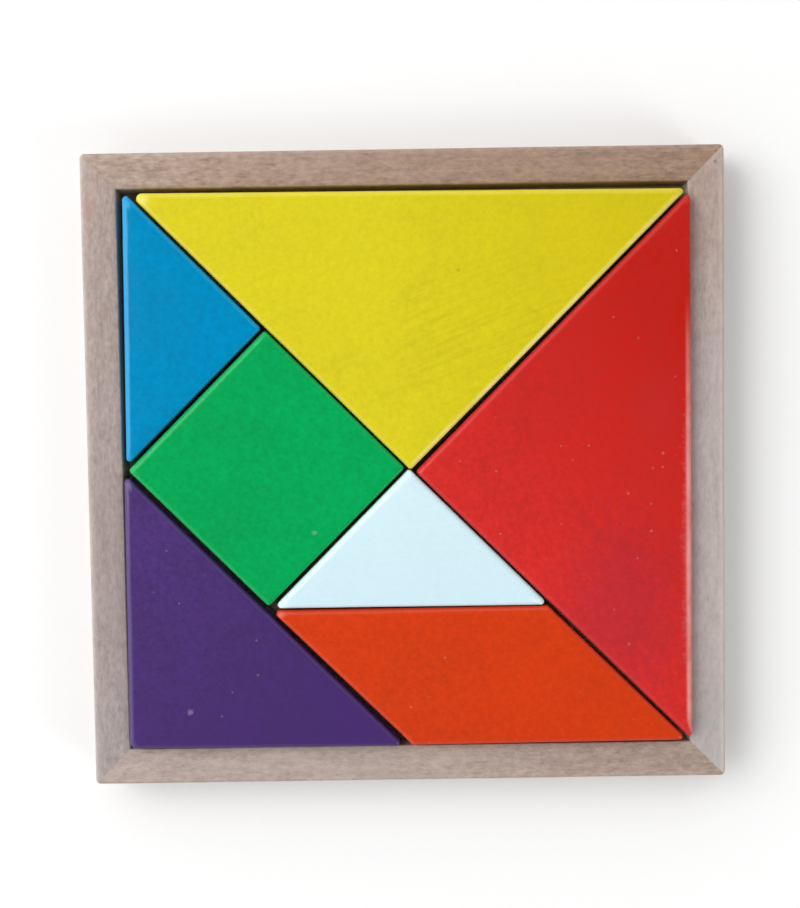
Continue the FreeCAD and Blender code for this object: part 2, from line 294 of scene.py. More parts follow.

# %% [markdown]
# A spot is a soft mark at one place: a stain on a rail, a patch of wear on the paint, and on the red piece a haze
# that is partly painted sheen and a line of painted highlight. It could be painted on a texture. Here it is a
# distance from a centre, stretched along its axes and roughened by noise, so that its edge isn't a clean circle.

# %% Group: spot
spot, start, finish = new_group(
    "spot",
    [("Point", "Vector"), ("Centre", "Vector"), ("Reach", "Vector"), ("Raggedness", "Float")],
    [("Mask", "Float")])
away = vectors(spot, "DIVIDE", vectors(spot, "SUBTRACT", start["Point"], start["Centre"]), start["Reach"])
rough_edge = ramp(spot, noise(spot, start["Point"], (0.8, 0.8, 0.8), 3.0, 0.6), 0.2, 0.8, -0.5, 0.5)
ragged = maths(spot, "MULTIPLY_ADD", rough_edge, start["Raggedness"], vectors(spot, "LENGTH", away))
spot.links.new(ramp(spot, ragged, 0.3, 1.0, 1.0, 0.0), finish["Mask"])
print("group made:", spot.name)


def spot_mask(tree, point, centre, reach, raggedness):
    """1 at the centre and 0 past the reach, both in millimetres."""
    values = {"Point": point, "Centre": centre, "Reach": reach, "Raggedness": raggedness}
    return placed(tree, spot, values)["Mask"]


def marked(tree, point, colour, marks, raggedness):
    """The colour with marks laid over it, each a centre, a reach, a strength and a colour."""
    for centre, reach, strength, tint in marks:
        mask = spot_mask(tree, point, centre, reach, raggedness)
        colour = mixed(tree, maths(tree, "MULTIPLY", mask, strength), colour, (*tint, 1))
    return colour


# %% [markdown]
# Where hands and neighbours rub, an edge turns pale in patches, on bare wood as on paint. The same pale patches
# also serve as painted highlight on edges that face a lamp. A mask on the mesh says which edge it is. The group
# breaks the mask up with noise, into patches about 8 mm wide, and mixes in the paler colour that the rubbing lays
# bare and the painted highlight adds.

# %% Group: pale edge, wear and painted highlight
pale_edge_group, start, finish = new_group(
    "pale edge, wear and highlight",
    [("Point", "Vector"), ("Mask", "Float"), ("Strength", "Float"), ("Under", "Color"), ("Pale tint", "Color")],
    [("Color", "Color")])
patches = ramp(pale_edge_group, noise(pale_edge_group, start["Point"], (0.12, 0.12, 0.12), 3.0, 0.6), 0.25, 0.6, 0.4, 1.0)
in_patches = maths(pale_edge_group, "MULTIPLY", start["Mask"], patches)
pale_share = maths(pale_edge_group, "MULTIPLY", in_patches, start["Strength"])
pale_edge_group.links.new(mixed(pale_edge_group, pale_share, start["Under"], start["Pale tint"]), finish["Color"])
print("group made:", pale_edge_group.name)


def pale_patches_over(tree, point, colour, mask_name, strength, tint):
    """The colour with a paler tint, of wear and painted highlight, in patches where the mesh's named mask is 1.
    """
    mask = add(tree, "ShaderNodeAttribute", attribute_name=mask_name).outputs["Fac"]
    values = {"Point": point, "Mask": mask, "Strength": strength, "Under": colour, "Pale tint": (*tint, 1)}
    return placed(tree, pale_edge_group, values)["Color"]


# %% [markdown]
# The pieces are sprayed or dipped in a satin paint. It isn't perfectly even: it is thinner in clouds
# of every size, the wood's grain shows faintly through, and the gloss wavers. A smooth plain colour
# would look like plastic. The same group serves all seven colours, and each gives its own strengths.

# %% Group: paint film
paint_film, start, finish = new_group(
    "paint film",
    [("Point", "Vector"), ("Paint", "Color"), ("Thin", "Color"), ("Clouds", "Float"), ("Grain", "Float")],
    [("Color", "Color"), ("Roughness", "Float"), ("Height", "Float")])
cloud = noise(paint_film, start["Point"], (0.045, 0.06, 0.06), 4.0, 0.6, 0.4)
vein = noise(paint_film, start["Point"], (0.05, 0.7, 0.7), 4.0, 0.6, 0.3)
peel = noise(paint_film, start["Point"], (0.55, 0.55, 0.55), 2.0, 0.5)
grit = noise(paint_film, start["Point"], (0.8, 0.8, 0.8), 3.0, 0.7)
broad = ramp(paint_film, cloud, 0.35, 0.75, 0.0, 0.4)
uneven = maths(paint_film, "MULTIPLY_ADD", ramp(paint_film, grit, 0.3, 0.7), 0.8, broad)
thinness = maths(paint_film, "MULTIPLY", uneven, start["Clouds"])
veined = maths(paint_film, "MULTIPLY_ADD", ramp(paint_film, vein, 0.45, 0.75), start["Grain"], thinness)
paint_film.links.new(mixed(paint_film, veined, start["Paint"], start["Thin"]), finish["Color"])
paint_film.links.new(ramp(paint_film, cloud, 0.3, 0.7, 0.17, 0.24), finish["Roughness"])
paint_film.links.new(maths(paint_film, "MULTIPLY_ADD", vein, 0.35, peel), finish["Height"])
print("group made:", paint_film.name)

# %% [markdown]
# Grains of dust settle in paint before it dries, and show as tiny pale specks. A Voronoi texture
# gives cells of about one size, each with a random colour. A speck is the place near a cell's middle.
# Its width, and whether the cell has one at all, are read from that colour.

# %% Group: dust specks
dust_specks, start, finish = new_group(
    "dust specks",
    [("Point", "Vector"), ("Spacing", "Float"), ("Size", "Float"), ("Share", "Float")],
    [("Mask", "Float")])
per_mm = maths(dust_specks, "DIVIDE", 1.0, start["Spacing"])
cell_sockets = {"Vector": start["Point"], "Scale": per_mm, "Randomness": 1.0}
cells = add(dust_specks, "ShaderNodeTexVoronoi", cell_sockets).outputs
chance = add(dust_specks, "ShaderNodeSeparateColor", {0: cells["Color"]}).outputs
radius = maths(dust_specks, "MULTIPLY", maths(dust_specks, "MULTIPLY", start["Size"], per_mm), chance[1])
from_middle = maths(dust_specks, "DIVIDE", cells["Distance"], radius)
inside = maths(dust_specks, "SUBTRACT", 1.0, from_middle, clamp=True)
kept = maths(dust_specks, "LESS_THAN", chance[0], start["Share"])
speck = maths(dust_specks, "MULTIPLY", inside, kept)
dust_specks.links.new(ramp(dust_specks, speck, 0.0, 0.5), finish["Mask"])
print("group made:", dust_specks.name)

# %% [markdown]
# The new shapes are worked out with numpy. Each one is a grid of points: one direction runs along the
# piece, the other round its section. The functions give whole arrays at once, and one helper turns a
# grid into a closed mesh and measures it, because a closed mesh with a positive volume has its faces
# outward. Numbers that belong to the points, such as where an edge is rubbed, go along as masks.

# %% Helpers for meshes
def grid_quads(rows, columns):
    """Quads between the rows of a grid whose last column joins its first, as an array (count, 4)."""
    row, column = np.meshgrid(np.arange(rows - 1), np.arange(columns), indexing="ij")
    here = row * columns + column
    beside = row * columns + (column + 1) % columns
    return np.stack([here, beside, beside + columns, here + columns], axis=-1).reshape(-1, 4)


def volume(points, quads, triangles):
    """Volume of a closed mesh: a sixth of the sum of each triangle's corners' triple products."""
    every = np.concatenate([quads[:, [0, 1, 2]], quads[:, [0, 2, 3]], triangles])
    first, second, third = points[every].transpose(1, 0, 2)
    return np.einsum("ij,ij->i", first, np.cross(second, third)).sum() / 6


def make_piece(name, points_mm, quads, triangles, stands_for, masks, sharp_degrees=None):
    """A smooth-shaded object in place of a CAD node, from points in millimetres, turned outward if need be.

    Edges sharper than sharp_degrees stay sharp. Masks are named arrays with a number for each point.
    """
    points = points_mm * MM
    size = volume(points, quads, triangles)
    if size < 0:
        quads, triangles = quads[:, ::-1], triangles[:, ::-1]
    mesh = bpy.data.meshes.new(name)
    mesh.from_pydata(points.tolist(), [], quads.tolist() + triangles.tolist())
    mesh.shade_smooth()
    if sharp_degrees:
        mesh.set_sharp_from_angle(angle=math.radians(sharp_degrees))
    for label, values in masks.items():
        mesh.attributes.new(label, "FLOAT", "POINT").data.foreach_set("value", values.astype(np.float32))
    mesh.validate()
    piece = bpy.data.objects.new(name, mesh)
    bpy.context.collection.objects.link(piece)
    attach(piece, "root")
    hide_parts(stands_for)
    print(f"{name}: {len(points)} points, {abs(size) * 1e6:.2f} cm3")
    return piece


def waver(along, wavelengths, phases):
    """Slow unevenness of hand work: a mean of sines with the given wavelengths, between -1 and 1."""
    waves = [np.sin(2 * math.pi * along / length + phase) for length, phase in zip(wavelengths, phases)]
    return np.mean(waves, axis=0)


# %% [markdown]
# A rail is a beech strip with a groove for the bottom panel. The CAD boxes give its place and size.
# What is new is the hand work: the outer arris is sanded rounder than the inner one, both waver along
# the rail, and the bottom rail's inner arris is nearly as sharp as the plane left it.

# %% Sizes of the rails
inner_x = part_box("rail_right")[0].x / MM
inner_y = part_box("rail_top")[0].y / MM
rail_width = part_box("rail_right")[1].x / MM - inner_x
rail_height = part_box("rail_right")[1].z / MM
panel_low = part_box("base_panel")[0].z / MM
panel_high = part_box("base_panel")[1].z / MM
CORNER_ROUND = 1.2
OUTER_EASE = 0.8
INNER_EASE = 0.4
BOTTOM_INNER_EASE = 0.2
GROOVE_DEPTH = 3.0
GROOVE_PLAY = 0.1
MITRE_HAIRLINE = 0.02
OUTER_WAVER = 0.10
INNER_WAVER = 0.15
# How far from the inner and from the outer arris the flat faces' first points lie
FLAT_FROM_INNER = 1.5
FLAT_FROM_OUTER = 1.8
print(f"opening {2 * inner_x:.1f} x {2 * inner_y:.1f} mm, rails {rail_width:.1f} x {rail_height:.1f} mm")

# %% [markdown]
# The section is a rectangle with four eased corners and the groove. It is one closed line of points,
# and a few of them lie on the flat faces near the edges, so that the smooth shading of the edge
# doesn't spread over the whole face.

# %% Section of a rail
def arc(centre_x, centre_y, radius, first, last, count):
    """Points of arcs from the first to the last angle in degrees, as an array (count, 2, number of radii).

    A point is the centre plus the radius times the cosine and the sine of its angle.
    """
    angles = np.radians(np.linspace(first, last, count))
    unit = np.stack([np.cos(angles), np.sin(angles)], axis=1)
    middle = np.stack(np.broadcast_arrays(centre_x, centre_y), axis=0)
    return middle + unit[:, :, None] * radius


def rail_section(outer, inner):
    """The section's outline, as distance outward from the inner face and height, for each place along.

    It goes up the inner face with its groove, across the top and down the outer face. Outer and inner
    are the radii of the eased corners, which waver along the rail.
    """
    flat = np.ones_like(outer)
    ceiling = panel_high + GROOVE_PLAY
    groove = [(0.0, panel_low), (GROOVE_DEPTH, panel_low), (GROOVE_DEPTH, ceiling), (0.0, ceiling)]
    across = np.linspace(FLAT_FROM_INNER, rail_width - FLAT_FROM_OUTER, 5)
    down = np.linspace(rail_height - FLAT_FROM_OUTER, FLAT_FROM_OUTER, 4)
    return np.concatenate([
        arc(inner, inner, inner, 270, 180, 4),
        np.array(groove)[:, :, None] * flat,
        arc(inner, rail_height - inner, inner, 180, 90, 6),
        np.stack([across, np.full(5, rail_height)], axis=1)[:, :, None] * flat,
        arc(rail_width - outer, rail_height - outer, outer, 90, 0, 8),
        np.stack([np.full(4, rail_width), down], axis=1)[:, :, None] * flat,
        arc(rail_width - outer, outer, outer, 0, -90, 8),
        np.stack([across[::-1], np.zeros(5)], axis=1)[:, :, None] * flat,
    ])


# %% [markdown]
# The section is carried along one side of the frame. Both ends are cut at 45 degrees and the frame's
# upright corners are rounded, so a point that lies further out runs further along, and then turns 45
# degrees on a small arc. Carrying one profile along a path gives all of this from a single formula,
# with an even mesh that a cut and a bevel would not give.

# %% Way of a rail, seen from above
STRAIGHT_STEPS = 61
TURN_STEPS = 6
RAIL_STEPS = STRAIGHT_STEPS + 2 * TURN_STEPS
SQUARE_END = 0.6


def rail_way(out, half):
    """Way along and distance outward of a rail's points.

    Out is the distance from the inner face, a row for each point of the section and a column for each
    step along. The straight stretch is half the opening plus out long, each way, as far as the corner
    begins to turn. Then the way along grows by the rest of the round times the cosine of an angle that
    falls from 90 to 45 degrees, and the distance outward is where the turn began plus the rest of the
    round times the sine. Where no round is left, a short square end takes the arc's place.
    """
    inside = np.minimum(out, rail_width - CORNER_ROUND)
    radius = out - inside
    square_end = SQUARE_END * (radius == 0)
    turning = np.linspace(1, 0, TURN_STEPS, endpoint=False)
    turned = np.concatenate([turning, np.zeros(STRAIGHT_STEPS), turning[::-1]])
    side = np.concatenate([np.full(TURN_STEPS, -1.0), np.linspace(-1, 1, STRAIGHT_STEPS), np.ones(TURN_STEPS)])
    angle = np.radians(90 - 45 * turned)
    beyond = radius * np.cos(angle) + square_end * turned
    along = side * (half + inside - square_end) + np.sign(side) * beyond
    shortened = np.sign(along) * MITRE_HAIRLINE / 2 * (np.abs(along) > half)
    return along - shortened, inside + radius * np.sin(angle)


# %% [markdown]
# The two ends need faces of their own. One face with 44 corners round a groove would be left to the
# exporter to cut up, and some of its triangles would be flat. So the end is parted by a line from the
# groove's inner upper corner to the outer face, and each part is a fan of triangles round a place
# from which all its corners can be seen.

# %% Ends of a rail
UPPER_ROWS = np.arange(6, 30)
LOWER_ROWS = np.append(np.arange(29, 44), np.arange(7))
# The middle of each fan, as distance outward and height
UPPER_HEART = (4.2, 8.0)
LOWER_HEART = (5.5, 1.2)


def end_fans(ring, hearts):
    """Triangles that close the end whose first point is ring: a fan from each heart to its rows' edges."""
    fans = [np.stack([ring + rows, ring + np.roll(rows, -1), np.full(len(rows), heart)], axis=1)
            for rows, heart in zip((UPPER_ROWS, LOWER_ROWS), hearts)]
    return np.concatenate(fans)


# %% [markdown]
# All four rails are the same function with another length, place and turn. The arris mask is 1 on the outer upper
# edge, where hands rub the wood pale and where a painted highlight makes it paler still.

# %% The four rails
# How far the pale arris, with its wear and painted highlight, reaches in from the outside and down from the top,
# and how softly each ends
ARRIS_IN, ARRIS_IN_BLUR = 1.7, 0.9
ARRIS_DOWN, ARRIS_DOWN_BLUR = 1.2, 0.6


def make_rail(name, half, shift, turn, phases, inner_ease=INNER_EASE):
    """A rail whose inner edge is 2 * half long, turned about the upright and shifted to its side."""
    place = np.linspace(-half, half, RAIL_STEPS)
    outer = OUTER_EASE * (1 + OUTER_WAVER * waver(place, (31, 47, 13), phases))
    inner = inner_ease * (1 + INNER_WAVER * waver(place, (23, 39, 11), phases[::-1]))
    section = rail_section(outer, inner)
    around = len(section)
    along, outward = rail_way(section[:, 0], half)
    heart_out, heart_high = np.array([UPPER_HEART, LOWER_HEART] * 2).T
    heart_along = np.array([-1, -1, 1, 1]) * (half + heart_out - MITRE_HAIRLINE / 2)
    along = np.append(along.T, heart_along)
    outward = np.append(outward.T, heart_out)
    height = np.append(section[:, 1].T, heart_high)
    cosine, sine = math.cos(math.radians(turn)), math.sin(math.radians(turn))
    points = np.stack([along * cosine + outward * sine + shift[0],
                       along * sine - outward * cosine + shift[1], height], axis=1)
    first_heart = RAIL_STEPS * around
    ends = np.concatenate([end_fans(0, (first_heart, first_heart + 1))[:, ::-1],
                           end_fans(first_heart - around, (first_heart + 2, first_heart + 3))])
    near_outside = np.clip((outward - rail_width + ARRIS_IN) / ARRIS_IN_BLUR, 0, 1)
    near_top = np.clip((height - rail_height + ARRIS_DOWN) / ARRIS_DOWN_BLUR, 0, 1)
    return make_piece(name, points, grid_quads(RAIL_STEPS, around), ends, name.replace("beech_", ""),
                      {"arris": near_outside * near_top}, sharp_degrees=38)


rails = {
    "bottom": make_rail("beech_rail_bottom", inner_x, (0, -inner_y), 0, (0.4, 2.1, 4.0), BOTTOM_INNER_EASE),
    "right": make_rail("beech_rail_right", inner_y, (inner_x, 0), 90, (1.7, 0.2, 5.1)),
    "top": make_rail("beech_rail_top", inner_x, (0, inner_y), 180, (3.3, 1.1, 0.6)),
    "left": make_rail("beech_rail_left", inner_y, (-inner_x, 0), 270, (5.2, 3.9, 2.8)),
}

# %% [markdown]
# Each rail is sawn from another place in the board, so each has its own tones, which drift from one end to the
# other, and its own shift in the grain. The upright rails' grain runs up the picture, and a Mapping node turns
# the pattern for them. Stains and pale places are laid over it, and the outer arris is made paler, partly by wear
# and partly as a painted highlight, most of all on the right.

# %% Finish of the rails
# Side: turn of the grain and shift in the board, then where its one end and its other end lie
BOARD = {
    "left": (90, (0, 0, 0), (-70, 66, 0), (-70, -66, 0)),
    "right": (90, (310, 40, 7), (70, 60, 0), (70, 5, 0)),
    "top": (0, (120, 90, 3), (-66, 70, 0), (66, 70, 0)),
    "bottom": (0, (530, 150, 9), (-66, -70, 0), (66, -70, 0)),
}
# Side: pale and deep colour at the one end, and at the other end
BEECH = {
    "left": ((0.451, 0.352, 0.310), (0.284, 0.211, 0.181), (0.418, 0.360, 0.350), (0.271, 0.218, 0.207)),
    "right": ((0.463, 0.366, 0.321), (0.320, 0.237, 0.202), (0.496, 0.436, 0.421), (0.376, 0.325, 0.310)),
    "top": ((0.495, 0.386, 0.318), (0.236, 0.159, 0.124), (0.379, 0.252, 0.173), (0.171, 0.106, 0.070)),
    "bottom": ((0.498, 0.402, 0.361), (0.312, 0.237, 0.211), (0.441, 0.336, 0.280), (0.250, 0.183, 0.148)),
}
# Side: stains and pale places as centre, reach, strength and colour
STAINS = {
    "left": [((-73.8, 61.5, 11.5), (1.6, 4.5, 4.0), 0.55, (0.40, 0.20, 0.15)),
             ((-71.0, -22.0, 11.5), (9.0, 40.0, 6.0), 0.25, (0.29, 0.22, 0.20))],
    "right": [((70.5, 66.0, 11.5), (5.0, 6.0, 4.0), 0.25, (0.30, 0.20, 0.15)),
              ((69.0, 52.0, 11.5), (2.5, 8.0, 4.0), 0.35, (0.34, 0.22, 0.18)),
              ((71.0, -62.0, 11.5), (9.0, 18.0, 6.0), 0.30, (0.30, 0.33, 0.32)),
              ((73.3, 70.8, 11.5), (0.5, 0.6, 3.0), 0.60, (0.16, 0.09, 0.06))],
    "top": [((5.0, 71.0, 11.5), (95.0, 14.0, 6.0), 0.35, (0.325, 0.193, 0.140)),
            ((73.6, 73.2, 11.5), (0.6, 0.5, 3.0), 0.60, (0.16, 0.09, 0.06))],
    "bottom": [((-15.0, -71.0, 11.5), (55.0, 9.0, 6.0), 0.18, (0.52, 0.44, 0.40))],
}
# How pale each outer arris is made: partly wear, partly painted highlight
ARRIS_WEAR_AND_HIGHLIGHT = {"left": 0.25, "right": 0.42, "top": 0.07, "bottom": 0.07}
ARRIS_PALE = (0.62, 0.56, 0.51)
STREAKS = 0.85
FLECKS = 0.30
STAIN_RAGGED = 0.6
WOOD_BUMP = 0.35
for side, tones in BEECH.items():
    turn, shift, near, far = BOARD[side]
    pale, deep, far_pale, far_deep = ((*tone, 1) for tone in tones)
    material, tree, shader = new_material(f"beech_{side}")
    point = point_in_mm(tree)
    along = drift(tree, point, near, far)
    grain = placed(tree, beech_grain, {
        "Point": point_in_mm(tree, turn, shift), "Pale": mixed(tree, along, pale, far_pale),
        "Deep": mixed(tree, along, deep, far_deep), "Streaks": STREAKS, "Flecks": FLECKS})
    colour = marked(tree, point, grain["Color"], STAINS[side], STAIN_RAGGED)
    # Painted highlight and wear: the outer arris made paler in patches
    colour = pale_patches_over(tree, point, colour, "arris", ARRIS_WEAR_AND_HIGHLIGHT[side], ARRIS_PALE)
    join(tree, shader, colour, grain, WOOD_BUMP)
    rails[side].data.materials.append(material)
print("beech:", ", ".join(BEECH))

# %% [markdown]
# A puzzle piece is a slab with rounded upright corners and softly rounded edges. Its outline could be
# typed in again, but the CAD piece already lies where it should, a little turned in its tray, so the
# outline is read from it: the long sides of its shape from above, made to meet in sharp corners.

# %% Outline of a piece
LONG_SIDE_MM = 8.0


def cross_flat(first, second):
    """Cross product of flat vectors, along their last axis."""
    return first[..., 0] * second[..., 1] - first[..., 1] * second[..., 0]


def sharp_outline(node):
    """Corners of a CAD piece seen from above, in millimetres and anticlockwise, as if never rounded."""
    vertices = nodes[node].data.vertices
    numbers = np.empty(3 * len(vertices))
    vertices.foreach_get("co", numbers)
    flat = numbers.reshape(-1, 3)[:, :2] / MM
    hull = flat[geometry.convex_hull_2d(flat.tolist())]
    if cross_flat(hull, np.roll(hull, -1, axis=0)).sum() < 0:
        hull = hull[::-1]
    steps = np.roll(hull, -1, axis=0) - hull
    long = np.linalg.norm(steps, axis=1) > LONG_SIDE_MM
    starts, ways = hull[long], steps[long]
    next_starts, next_ways = np.roll(starts, -1, axis=0), np.roll(ways, -1, axis=0)
    share = cross_flat(next_starts - starts, next_ways) / cross_flat(ways, next_ways)
    return np.roll(starts + ways * share[:, None], 1, axis=0)


print("yellow corners:", np.round(sharp_outline("large_triangle_yellow"), 2).tolist())

# %% [markdown]
# Rounding needs only one idea. Shrink the outline by the corner's radius, and walk round it with a
# normal that turns at each corner. A point of the slab is that walk plus the normal times what is left
# of the radius. No corner has to be cut or bevelled, and every ring of points has the same number.

# %% Walk round an outline
WALK_STEP_MM = 2.0
CORNER_STEPS = 9


def walk(corners, rounds):
    """Arrays for the points round an outline: place, corner pull, facing, round and length so far.

    Every side is divided evenly, and at every corner the facing turns while the place stays. Moved in
    by a distance d, the outline is the place, minus the pull times d plus the round, plus the facing
    times the round. Rounds are the corners' radii, and along a side one passes into the next.
    """
    following = np.roll(corners, -1, axis=0)
    ways = (following - corners) / np.linalg.norm(following - corners, axis=1)[:, None]
    normals = np.stack([ways[:, 1], -ways[:, 0]], axis=1)
    before = np.roll(normals, 1, axis=0)
    pulls = (before + normals) / (1 + (before * normals).sum(1))[:, None]
    places, pulled, facings, rounded = [], [], [], []
    for index in range(len(corners)):
        after = (index + 1) % len(corners)
        steps = max(4, int(np.linalg.norm(corners[after] - corners[index]) / WALK_STEP_MM))
        share = np.linspace(0, 1, steps)[:, None]
        first = math.atan2(normals[index][1], normals[index][0])
        turned = (math.atan2(normals[after][1], normals[after][0]) - first) % (2 * math.pi)
        angles = first + turned * np.linspace(0, 1, CORNER_STEPS)[1:-1]
        stay = 0 * angles[:, None]
        places += [corners[index] + (corners[after] - corners[index]) * share, corners[after] + stay]
        pulled += [pulls[index] + (pulls[after] - pulls[index]) * share, pulls[after] + stay]
        facings += [normals[index] + 0 * share, np.stack([np.cos(angles), np.sin(angles)], axis=1)]
        rounded += [rounds[index] + (rounds[after] - rounds[index]) * share, rounds[after] + stay]
    place = np.concatenate(places)
    length = np.append(0, np.cumsum(np.linalg.norm(np.diff(place, axis=0), axis=1)))
    return place, np.concatenate(pulled), np.concatenate(facings), np.concatenate(rounded), length


# %% [markdown]
# The edges are sanded by hand. They are rounder towards the upper left than elsewhere, waver a little along their
# way, and two corners are rounder than the rest. Near its rim the top falls away slightly, as sanding leaves it.
# Two masks go along: one on the rounded edge, and one for the place on some pieces where the paint is thin from
# wear and a painted highlight lies.

# %% One painted piece
PIECE_CORNER_ROUND = 0.8
# Node: a corner that is rounder than the others, as a place beside it and its radius
ROUNDER = {
    "large_triangle_yellow": ((-65, 65), 1.25),
    "medium_triangle_purple": ((-65, -65), 1.6),
}
PIECE_EDGE_ROUND = 1.35
SOFTER_WAY = np.array([-0.71, 0.71])
SOFTER = 0.3
EDGE_WAVER = 0.10
EDGE_STEPS = 9
SIDE_FROM_EDGE = 0.8
FACE_FALL = 0.05
FALL_WIDTH = 1.2
FACE_WAVES = 0.02
# Rings of the face: first some parallel to the rim, in millimetres, then shares of the way to the middle
BESIDE_RIM = np.array([0.3, 0.6, 1.0, 1.5])
TO_MIDDLE = np.array([0.04, 0.09, 0.15, 0.23, 0.32, 0.43, 0.54, 0.66, 0.79, 0.91])
# Depths below the top where the edge mask begins and ends, and how softly
EDGE_FROM, EDGE_FROM_BLUR = 0.06, 0.12
EDGE_TO, EDGE_TO_BLUR = 1.6, 0.5
PALE_EDGE_BLUR = 0.6
FAR_IN = 99.0


def piece_corners(node):
    """The outline's corners and the radius of each."""
    corners = sharp_outline(node)
    rounds = np.full(len(corners), PIECE_CORNER_ROUND)
    if node in ROUNDER:
        place, radius = ROUNDER[node]
        rounds[np.linalg.norm(corners - np.array(place), axis=1).argmin()] = radius
    return corners, rounds


def edge_mask(drop):
    """1 on the rounded edge between the top face and the side, and 0 on both, from the depth below the top."""
    return np.clip((drop - EDGE_FROM) / EDGE_FROM_BLUR, 0, 1) * np.clip((EDGE_TO - drop) / EDGE_TO_BLUR, 0, 1)


def make_slab(node, name, phases, pale_edge_way, pale_edge_width):
    """A painted slab in place of a CAD piece.

    The section goes from the top face's middle out to its rim, down the rounded edge and the side, and
    back along the lower face. On the edge it lies in by the radius times one minus the cosine of an
    angle from 0 to 90 degrees, and rises by the radius times the sine.
    """
    low, high = (corner.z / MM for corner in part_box(node))
    place, pull, facing, rounded, length = walk(*piece_corners(node))
    middle = place.mean(axis=0)
    softer = 1 + SOFTER * (facing @ SOFTER_WAY)
    edge = PIECE_EDGE_ROUND * softer * (1 - EDGE_WAVER / 2 * (1 + waver(length, (37, 61, 17), phases)))

    def outlines(distances):
        """The outline moved in by distances, a row for each ring and a column for each point."""
        return place - pull * (distances[:, :, None] + rounded) + facing * rounded

    angles = np.radians(np.linspace(0, 90, EDGE_STEPS))[:, None]
    inset, rise = edge * (1 - np.cos(angles)), edge * np.sin(angles)
    band = outlines(inset)
    beside_rim = outlines(edge + BESIDE_RIM[:, None])
    inner_face = beside_rim[-1] + (middle - beside_rim[-1]) * TO_MIDDLE[:, None, None]
    face = np.concatenate([beside_rim, inner_face])
    from_rim = np.concatenate([BESIDE_RIM[:, None] + 0 * edge,
                               BESIDE_RIM[-1] + np.linalg.norm(inner_face - beside_rim[-1], axis=2)])
    waves = FACE_WAVES * (1 + waver(face[..., 0] + 0.6 * face[..., 1], (41, 29, 53), phases)) / 2
    top = high - FACE_FALL * np.exp(-from_rim / FALL_WIDTH) - waves
    edge_top = high - edge + rise - FACE_FALL * np.sin(angles) ** 4
    flat_from = PIECE_EDGE_ROUND + SIDE_FROM_EDGE
    side = np.linspace(high - flat_from, low + flat_from, 3)[:, None] + 0 * edge
    plan = np.concatenate([face[::-1], band[::-1], band[[0, 0, 0]], band, face])
    height = np.concatenate([top[::-1], edge_top[::-1], side, low + edge - rise, low + 0 * top])
    poles = [[*middle, high - FACE_WAVES / 2], [*middle, low]]
    points = np.concatenate([np.dstack([plan, height]).reshape(-1, 3), poles])

    rings, around = height.shape
    step = np.arange(around)
    after = (step + 1) % around
    last = (rings - 1) * around
    top_pole, low_pole = np.full(around, rings * around), np.full(around, rings * around + 1)
    fans = np.concatenate([np.stack([top_pole, after, step], axis=1),
                           np.stack([last + step, last + after, low_pole], axis=1)])
    inward = np.full((rings, around), FAR_IN)
    inward[:len(face) + EDGE_STEPS] = np.concatenate([(edge + from_rim)[::-1], inset[::-1]])
    # Wear and painted highlight on the edge that faces the given way, out to the given width
    wear_and_highlight = np.clip((pale_edge_width - inward) / PALE_EDGE_BLUR, 0, 1) * np.clip(facing @ pale_edge_way, 0, 1) ** 8
    masks = {"edge": edge_mask(high - points[:, 2]), "wear_and_highlight": np.append(wear_and_highlight, [0, 0])}
    return make_piece(name, points, grid_quads(rings, around)[:, ::-1], fans[:, ::-1], node, masks)


# %% [markdown]
# The seven slabs replace the seven CAD pieces. Yellow and red each have an edge, and white has a corner, where
# another piece or a thumb slides along; there the paint is paler, partly from wear and partly as a painted
# highlight.

# %% The seven pieces
PIECES = {
    "large_triangle_yellow": "painted_triangle_yellow",
    "large_triangle_red": "painted_triangle_red",
    "medium_triangle_purple": "painted_triangle_purple",
    "small_triangle_blue": "painted_triangle_blue",
    "small_triangle_white": "painted_triangle_white",
    "square_green": "painted_square_green",
    "parallelogram_orange": "painted_parallelogram_orange",
}
# Node: the way that its pale edge faces and how wide it is in millimetres, how strongly and to what colour; the
# pale edge is partly wear, partly painted highlight
PALE_EDGE_WEAR_AND_HIGHLIGHT = {
    "large_triangle_yellow": ((0.71, -0.71), 1.35, 0.50, (1.00, 0.90, 0.38)),
    "large_triangle_red": ((1.0, 0.0), 1.6, 0.62, (0.80, 0.44, 0.42)),
    "small_triangle_white": ((0.71, -0.71), 1.35, 0.80, (0.95, 0.95, 0.95)),
}
NOWHERE = ((0.0, 0.0), 0.0)
slabs = {}
for index, (node, name) in enumerate(PIECES.items()):
    pale_edge_way, pale_edge_width = PALE_EDGE_WEAR_AND_HIGHLIGHT.get(node, NOWHERE)[:2]
    phases = (0.7 * index, 2.0 + index, 4.1 - index)
    slabs[node] = make_slab(node, name, phases, np.array(pale_edge_way), pale_edge_width)

# %% [markdown]
# Seven paints, and each has its own faults. The tone drifts a little over a large piece, partly from the strokes
# and partly as painted shade where the light falls off. Red and purple are the most uneven. In the yellow one,
# the grain of the wood shows through at one place.

